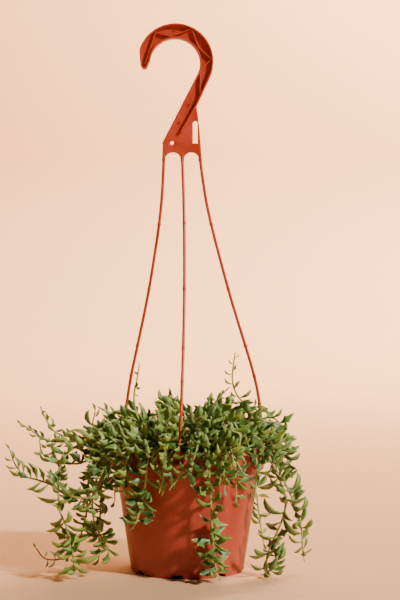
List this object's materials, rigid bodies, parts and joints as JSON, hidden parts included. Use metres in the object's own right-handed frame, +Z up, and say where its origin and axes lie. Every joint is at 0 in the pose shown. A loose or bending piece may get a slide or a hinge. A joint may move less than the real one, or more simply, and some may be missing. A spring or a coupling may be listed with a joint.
{
  "type": "potted trailing succulent",
  "caption": "Trailing succulent with dolphin-shaped leaves in a round plastic hanging pot with a one-piece hook and thin strands.",
  "frame": {"origin": "centre of the pot's foot pad, on the plane the pot stands on", "axes": "+Z up along the pot's axis to the hook; the pot's front as pictured faces -Y; +X to the right of the front view"},
  "size_m": [0.3077, 0.2146, 0.5606],
  "materials": {
    "pot": "satin terracotta-coloured plastic",
    "hanger": "satin terracotta-coloured plastic",
    "soil": "rough potting mix",
    "leaves": "smooth waxy leaf"
  },
  "bodies": {
    "root": {"pot": "pot", "hanger": "hanger", "soil": "soil", "crown_shoot_01": "leaves", "crown_shoot_02": "leaves", "crown_shoot_03": "leaves", "crown_shoot_04": "leaves", "crown_shoot_05": "leaves", "crown_shoot_06": "leaves", "crown_shoot_07": "leaves", "crown_shoot_08": "leaves", "crown_shoot_09": "leaves", "crown_shoot_10": "leaves", "crown_shoot_11": "leaves", "crown_shoot_12": "leaves", "crown_shoot_13": "leaves", "crown_shoot_14": "leaves", "crown_shoot_15": "leaves", "crown_shoot_16": "leaves", "crown_shoot_17": "leaves", "crown_shoot_18": "leaves", "crown_shoot_19": "leaves", "crown_shoot_20": "leaves", "crown_shoot_21": "leaves", "crown_shoot_22": "leaves", "crown_shoot_23": "leaves", "crown_shoot_24": "leaves", "crown_shoot_25": "leaves", "front_shoot_1": "leaves", "front_shoot_2": "leaves", "side_shoot_1": "leaves", "side_shoot_2": "leaves", "side_shoot_3": "leaves", "tip_shoot_1": "leaves", "tip_shoot_2": "leaves", "tip_shoot_3": "leaves", "trail_back_01": "leaves", "trail_back_02": "leaves", "trail_back_03": "leaves", "trail_back_04": "leaves", "trail_back_05": "leaves", "trail_back_06": "leaves", "trail_back_07": "leaves", "trail_front_1": "leaves", "trail_front_2": "leaves", "trail_front_3": "leaves", "trail_front_4": "leaves", "trail_front_5": "leaves", "trail_front_6": "leaves", "trail_front_7": "leaves", "trail_left_1": "leaves", "trail_left_2": "leaves", "trail_left_3": "leaves", "trail_left_4": "leaves", "trail_left_5": "leaves", "trail_left_6": "leaves", "trail_left_7": "leaves", "trail_right_1": "leaves", "trail_right_2": "leaves", "trail_right_3": "leaves"}
  },
  "joints": []
}
